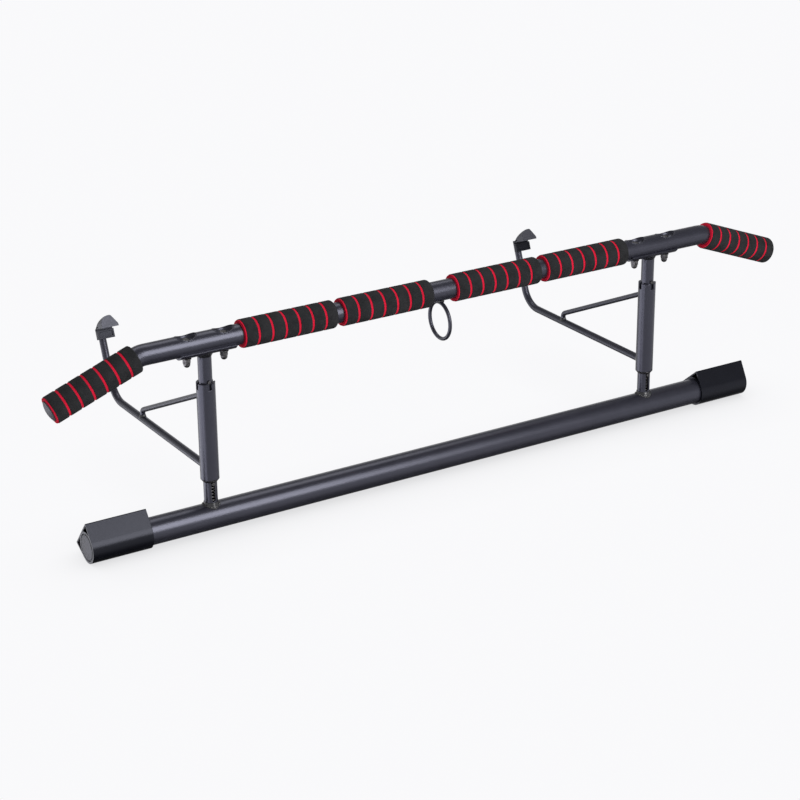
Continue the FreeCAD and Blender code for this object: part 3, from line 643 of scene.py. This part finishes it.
@dataclass
class FoamGrip:
    """One grip: seven black rings over a red sleeve that shows in the grooves and at the left end."""

    name: str
    start: Vector
    along: Vector
    length: float
    bore: float = 13.36 * MM
    liner: float = 17.3 * MM
    outside: float = 18.0 * MM
    rim: float = 1.6 * MM
    rim_radius: float = 17.3 * MM
    groove: float = 2.9 * MM
    rings: int = 7
    edge: float = 0.6 * MM
    end_round: float = 3.0 * MM
    body: str = "frame"
    pieces: list[bpy.types.Object] = field(default_factory=list)

    @property
    def ring_length(self) -> float:
        """The length of one black ring."""
        return (self.length - self.rim - self.groove * (self.rings - 1)) / self.rings

    @property
    def turn(self) -> tuple[float, float, float]:
        """The turn from +X to the grip's direction."""
        return (0.0, -math.atan2(self.along.z, self.along.x), 0.0)

    def ring_outline(self) -> list[tuple[float, float]]:
        """The section of one black ring, its outer edges softly rounded."""
        high = self.outside - self.edge
        points = [(0.0, self.liner)]
        points += rounded_corner(self.edge, high, self.edge, 180)
        points += rounded_corner(self.ring_length - self.edge, high, self.edge, 90)
        points.append((self.ring_length, self.liner))
        return points

    def end_outline(self) -> list[tuple[float, float]]:
        """The section of the last ring, which closes over the sleeve with a full round."""
        high = self.outside - self.edge
        points = [(0.0, self.liner)]
        points += rounded_corner(self.edge, high, self.edge, 180)
        centre = self.ring_length - self.end_round
        points += rounded_corner(centre, self.outside - self.end_round, self.end_round, 90, 8)
        points.append((self.ring_length, self.bore))
        points.append((centre, self.bore))
        points.append((centre, self.liner))
        return points

    def liner_outline(self) -> list[tuple[float, float]]:
        """The section of the red sleeve, with its rim at the left end."""
        end = self.length - self.end_round
        soft = self.edge / 2
        return [
            (0.0, self.bore),
            (0.0, self.rim_radius - soft),
            (soft, self.rim_radius),
            (self.rim, self.rim_radius),
            (self.rim, self.liner - 0.02 * MM),
            (end, self.liner - 0.02 * MM),
            (end, self.bore),
        ]

    def build(self, row: RingRow, paint: Paintbox) -> None:
        """Make the rings, the closing ring and the sleeve.

        Args:
            row: The tree that repeats a ring.
            paint: The finishes.
        """
        black = paint.material(Finish.BLACK_FOAM)
        pitch = self.ring_length + self.groove
        rings = self._row(row, "rings", self.ring_outline(), self.rings - 1, self.rim, pitch, black)
        last = self.rim + (self.rings - 1) * pitch
        end = self._row(row, "end_ring", self.end_outline(), 1, last, pitch, black)
        red = paint.material(Finish.RED_FOAM)
        liner = self._row(row, "red_sleeve", self.liner_outline(), 1, 0.0, pitch, red)
        foam_node = f"{self.name}_grip_foam"
        for piece in (rings, end):
            self._declare(piece, foam_node)
        self._declare(liner, f"{self.name}_grip_liner")

    def _row(
        self,
        row: RingRow,
        label: str,
        outline: Sequence[tuple[float, float]],
        count: int,
        offset: float,
        pitch: float,
        material: bpy.types.Material,
    ) -> bpy.types.Object:
        """Repeat one turned section along the grip.

        Args:
            row: The tree that repeats a ring.
            label: What the piece is.
            outline: The section's points.
            count: How many there are.
            offset: Where the first starts, from the grip's left end.
            pitch: The step from one to the next.
            material: The piece's material.

        Returns:
            The piece, in the row frame.
        """
        pattern = lathe(f"{self.name}_{label}_pattern", outline)
        origin = self.start + self.along * offset
        made = row.build(
            f"{self.name}_grip_{label}",
            Ring=pattern,
            Count=count,
            Pitch=(pitch, 0.0, 0.0),
            Origin=tuple(origin),
            Turn=self.turn,
            Material=material,
        )
        bpy.data.objects.remove(pattern)
        return made

    def _declare(self, piece: bpy.types.Object, node: str) -> None:
        """Hide the CAD node that a piece stands for, hang the piece on its body and keep it in the list."""
        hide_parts(node)
        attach(piece, self.body)
        self.pieces.append(piece)


@dataclass
class GripSet:
    """The six grips, placed from their CAD solids."""

    end_angle: float = math.radians(20.7)
    straight: tuple[str, ...] = ("left_outer", "left_inner", "right_inner", "right_outer")
    length: float = 130.0 * MM
    end_length: float = 121.0 * MM
    outside: float = 18.0 * MM

    def grips(self) -> Iterable[FoamGrip]:
        """Every grip, with its left end, direction and length."""
        for name in self.straight:
            low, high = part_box(f"{name}_grip_liner")
            start = Vector((low.x, (low.y + high.y) / 2, (low.z + high.z) / 2))
            yield FoamGrip(name, start, Vector((1, 0, 0)), self.length)
        for name, way in (("left_end", 1), ("right_end", -1)):
            yield self._end_grip(name, way)

    def _end_grip(self, name: str, way: int) -> FoamGrip:
        """A grip on a bent end of the bar.

        Args:
            name: The grip's name.
            way: 1 where the bar rises to the right, -1 where it falls.

        Returns:
            The grip, placed on the bar's end.
        """
        along = Vector((math.cos(self.end_angle), 0, way * math.sin(self.end_angle)))
        low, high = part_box("upper_bar")
        radius = 13.3 * MM
        side = low.x if way > 0 else high.x
        edge = side + way * radius * math.sin(self.end_angle)
        tip = Vector((edge, (low.y + high.y) / 2, low.z + radius * math.cos(self.end_angle)))
        start = tip if way > 0 else tip - along * self.end_length
        return FoamGrip(name, start, along, self.end_length)


# --------------------------------------------------------------------------------------------------------
# Posts
# --------------------------------------------------------------------------------------------------------


@dataclass
class LiftSpring:
    """The coil spring in one post, which sits between the frame and its lift pin."""

    side: str
    wire: float = 0.9 * MM
    turns: float = 6.0

    def build(self, coil: Coil, paint: Paintbox) -> None:
        """Make the spring.

        Args:
            coil: The tree that winds it.
            paint: The finishes.
        """
        node = f"{self.side}_lift_spring"
        low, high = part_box(node)
        bottom = Vector(((low.x + high.x) / 2, (low.y + high.y) / 2, low.z + self.wire))
        height = high.z - low.z - 2 * self.wire
        spring = coil.build(
            f"{self.side}_spring",
            Radius=(high.y - low.y) / 2 - self.wire,
            Height=height,
            Turns=self.turns,
            Wire=self.wire,
            Origin=tuple(bottom),
            Turn=(0.0, 0.0, 0.0),
            Material=paint.material(Finish.PLATED),
        )
        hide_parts(node)
        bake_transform(spring)


@dataclass
class FootBead:
    """The lumpy weld round the foot of one post."""

    side: str
    seed: int
    lump: float = 1.55 * MM
    lumps: int = 30

    def build(self, bead: SaddleBead, paint: Paintbox) -> None:
        """Make the bead.

        Args:
            bead: The tree that lays it.
            paint: The finishes.
        """
        tube_low, tube_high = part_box("lower_tube")
        low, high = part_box(f"{self.side}_post")
        middle = (tube_low.z + tube_high.z) / 2
        piece = bead.build(
            f"{self.side}_foot_bead",
            Radius=(high.y - low.y) / 2 + self.lump * 0.9,
            Tube=(tube_high.z - tube_low.z) / 2,
            Lump=self.lump,
            Lumps=self.lumps,
            Seed=self.seed,
            Origin=((low.x + high.x) / 2, (low.y + high.y) / 2, middle),
            Turn=(0.0, 0.0, 0.0),
            Material=paint.material(Finish.WELD),
        )
        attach(piece, "frame")


@dataclass
class DimpleLips:
    """The rolled rims of the two pressed dimples over one saddle."""

    side: str
    length: float = 28.2 * MM
    width: float = 19.0 * MM
    wire: float = 0.75 * MM
    sunk: float = 0.30 * MM
    head: float = 5.0 * MM
    bar_radius: float = 13.3 * MM

    def build(self, lip: OvalLip, paint: Paintbox) -> None:
        """Make both rims.

        Args:
            lip: The tree that rolls a rim.
            paint: The finishes.
        """
        low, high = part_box(f"{self.side}_saddle_bolts")
        bar_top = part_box("upper_bar")[1].z
        middle = Vector((0, (low.y + high.y) / 2, bar_top - self.bar_radius - self.sunk))
        for label, x in (("outer", low.x + self.head), ("inner", high.x - self.head)):
            piece = lip.build(
                f"{self.side}_dimple_lip_{label}",
                Size=(self.length / 2, self.width / 2, 1.0),
                Tube=self.bar_radius,
                Wire=self.wire,
                Origin=(x, middle.y, middle.z),
                Turn=(0.0, 0.0, 0.0),
                Material=paint.material(Finish.CHARCOAL),
            )
            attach(piece, "frame")


# --------------------------------------------------------------------------------------------------------
# Studio
# --------------------------------------------------------------------------------------------------------


@dataclass(frozen=True)
class Softbox:
    """A rectangular lamp."""

    name: str
    place: tuple[float, float, float]
    target: tuple[float, float, float]
    size: tuple[float, float]
    radiance: float

    def aim(self) -> Matrix:
        """The matrix that faces the lamp's -Z at its target, with its width level."""
        heading = (Vector(self.target) - Vector(self.place)).to_track_quat("-Z", "Y")
        return Matrix.Translation(self.place) @ heading.to_matrix().to_4x4()

    def hang(self, origin: Vector) -> None:
        """Hang the lamp.

        Args:
            origin: The point that its place and target are measured from.
        """
        light = bpy.data.lights.new(self.name, "AREA")
        light.shape = "RECTANGLE"
        light.size, light.size_y = self.size
        light.energy = self.radiance * math.pi * self.size[0] * self.size[1]
        made = bpy.data.objects.new(self.name, light)
        made.matrix_world = Matrix.Translation(origin) @ self.aim()
        made.visible_camera = False
        bpy.context.scene.collection.objects.link(made)


@dataclass(frozen=True)
class GlowPanel(Softbox):
    """A bright panel that only shows in gloss."""

    def hang(self, origin: Vector) -> None:
        """Hang the panel.

        Args:
            origin: The point that its place and target are measured from.
        """
        half_x, half_y = self.size[0] / 2, self.size[1] / 2
        corners = [(-half_x, -half_y, 0), (half_x, -half_y, 0), (half_x, half_y, 0), (-half_x, half_y, 0)]
        mesh = bpy.data.meshes.new(self.name)
        mesh.from_pydata(corners, [], [(0, 1, 2, 3)])
        made = bpy.data.objects.new(self.name, mesh)
        made.matrix_world = Matrix.Translation(origin) @ self.aim()
        bpy.context.scene.collection.objects.link(made)
        material, graph = new_material(self.name)
        shine = graph.node("ShaderNodeEmission", inputs={0: (0.93, 0.93, 1.0, 1), 1: self.radiance})
        graph.end("ShaderNodeOutputMaterial", shine)
        material.cycles.emission_sampling = "NONE"
        mesh.materials.append(material)
        made.visible_camera = False
        made.visible_diffuse = False
        made.visible_shadow = False
        made.visible_transmission = False


@dataclass
class Studio:
    """A pale floor and world, soft lamps and one bright panel that shows only in gloss."""

    white: float = 0.965
    sky: float = 0.45
    gloss_middle: float = 0.75
    gloss_top: float = 0.22
    gloss_bottom: float = 0.05
    floor_size: float = 30.0
    shadow_reach: float = 0.11
    shadow_depth: float = 0.28
    lamps: tuple[Softbox, ...] = (
        Softbox("front_softbox", (0.45, -1.9, 1.25), (0.0, 0.0, 0.1), (1.15, 1.7), 6.6),
        Softbox("top_softbox", (0.25, 0.95, 2.1), (0.0, 0.0, 0.1), (2.0, 1.1), 1.7),
        GlowPanel("side_panel", (-2.0, 0.55, -0.8), (0.0, 0.0, 0.1), (3.6, 1.0), 2.7),
    )

    def build(self) -> None:
        """Make the floor, the world, the lamps and the panel."""
        low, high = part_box("lower_tube")
        origin = (low + high) / 2
        self._floor()
        self._world()
        for lamp in self.lamps:
            lamp.hang(origin)

    def _floor(self) -> None:
        """A large pale floor with a painted shadow: ambient occlusion darkens what the camera sees near the bar."""
        half = self.floor_size / 2
        mesh = bpy.data.meshes.new("studio_floor")
        mesh.from_pydata([(-half, -half, 0), (half, -half, 0), (half, half, 0), (-half, half, 0)], [], [(0, 1, 2, 3)])
        made = bpy.data.objects.new("studio_floor", mesh)
        bpy.context.scene.collection.objects.link(made)
        material, graph = new_material("studio_floor")
        path = graph.node("ShaderNodeLightPath", output="Is Camera Ray")
        lit = graph.node("ShaderNodeBsdfDiffuse", inputs={0: (0.9, 0.9, 0.905, 1)})
        # Painted shadow: the camera sees an emission darkened by ambient occlusion within shadow_reach, by up to
        # shadow_depth; no lamp casts this shadow.
        near = {"Distance": self.shadow_reach}
        shadow_openness = graph.node("ShaderNodeAmbientOcclusion", {"samples": 12}, near, output="AO")
        strength = shadow_openness * (self.white * self.shadow_depth) + self.white * (1 - self.shadow_depth)
        pale = graph.node("ShaderNodeEmission", inputs={0: (0.985, 0.985, 1.0, 1), 1: strength})
        shown = graph.node("ShaderNodeMixShader", inputs={0: path, 1: lit, 2: pale})
        graph.end("ShaderNodeOutputMaterial", shown)
        mesh.materials.append(material)
        made.visible_glossy = False

    def _world(self) -> None:
        """White to the camera; a softer sky over a dim underside to gloss and to the rest."""
        world = bpy.data.worlds.new("studio")
        bpy.context.scene.world = world
        world.use_nodes = True
        graph = Graph(world.node_tree)
        camera = graph.node("ShaderNodeLightPath", output="Is Camera Ray")
        glossy = graph.node("ShaderNodeLightPath", output="Is Glossy Ray")
        clear = graph.node("ShaderNodeLightPath", output="Is Transmission Ray")
        heading = graph.node("ShaderNodeTexCoord", output="Generated")
        height = graph.node("ShaderNodeSeparateXYZ", inputs={0: heading}, output="Z")
        low = height.above(-0.85, -0.3) * (self.gloss_middle - self.gloss_bottom)
        high = height.above(0.1, 0.5) * (self.gloss_top - self.gloss_middle)
        gloss = low + high + self.gloss_bottom
        lit = glossy * gloss + (1 - glossy) * self.sky
        shown = camera + clear
        strength = shown * self.white + (1 - shown) * lit
        background = graph.node("ShaderNodeBackground", inputs={0: (0.985, 0.985, 1.0, 1), 1: strength})
        graph.end("ShaderNodeOutputWorld", background)


@dataclass(frozen=True)
class Viewpoint:
    """The camera, placed from the middle of the lower tube."""

    heading: float = math.radians(30.94)
    elevation: float = math.radians(22.70)
    roll: float = math.radians(-0.57)
    place: tuple[float, float, float] = (-1.4015, -2.2388, 1.1866)
    lens: float = 98.27
    sensor: float = 36.0

    def build(self) -> None:
        """Make the camera and look through it."""
        low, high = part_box("lower_tube")
        flat = Vector((math.sin(self.heading), math.cos(self.heading), 0))
        forward = flat * math.cos(self.elevation) - Vector((0, 0, math.sin(self.elevation)))
        level = Vector((math.cos(self.heading), -math.sin(self.heading), 0))
        upright = level.cross(forward)
        right = level * math.cos(self.roll) + upright * math.sin(self.roll)
        up = upright * math.cos(self.roll) - level * math.sin(self.roll)
        data = bpy.data.cameras.new("camera")
        data.lens = self.lens
        data.sensor_width = self.sensor
        camera = bpy.data.objects.new("camera", data)
        axes = Matrix((right, up, -forward)).transposed().to_4x4()
        camera.matrix_world = Matrix.Translation((low + high) / 2 + Vector(self.place)) @ axes
        bpy.context.scene.collection.objects.link(camera)
        bpy.context.scene.camera = camera


# --------------------------------------------------------------------------------------------------------
# Making
# --------------------------------------------------------------------------------------------------------


def dress_frame(paint: Paintbox) -> None:
    """Put a finish on every CAD node.

    Args:
        paint: The finishes.
    """
    for part in frame["record"]["subparts"]:
        paint.dress_node(part["node"], part["material_slot"])
        LOG.info("dressed %s as %s", part["node"], part["material_slot"])


def main() -> None:
    """Build the camera, the studio and the bar's looks."""
    logging.basicConfig(level=logging.INFO, format="%(message)s")
    bpy.context.scene.view_settings.view_transform = "Standard"
    Viewpoint().build()
    Studio().build()
    paint = Paintbox()
    dress_frame(paint)
    row = RingRow()
    for grip in GripSet().grips():
        grip.build(row, paint)
        LOG.info("built %s grip, %d pieces", grip.name, len(grip.pieces))
    coil, bead, lip = Coil(), SaddleBead(), OvalLip()
    for seed, side in enumerate(("left", "right")):
        LiftSpring(side).build(coil, paint)
        FootBead(side, seed).build(bead, paint)
        DimpleLips(side).build(lip, paint)
        LOG.info("built %s spring, foot bead and dimple lips", side)


if __name__ == "__main__":
    main()
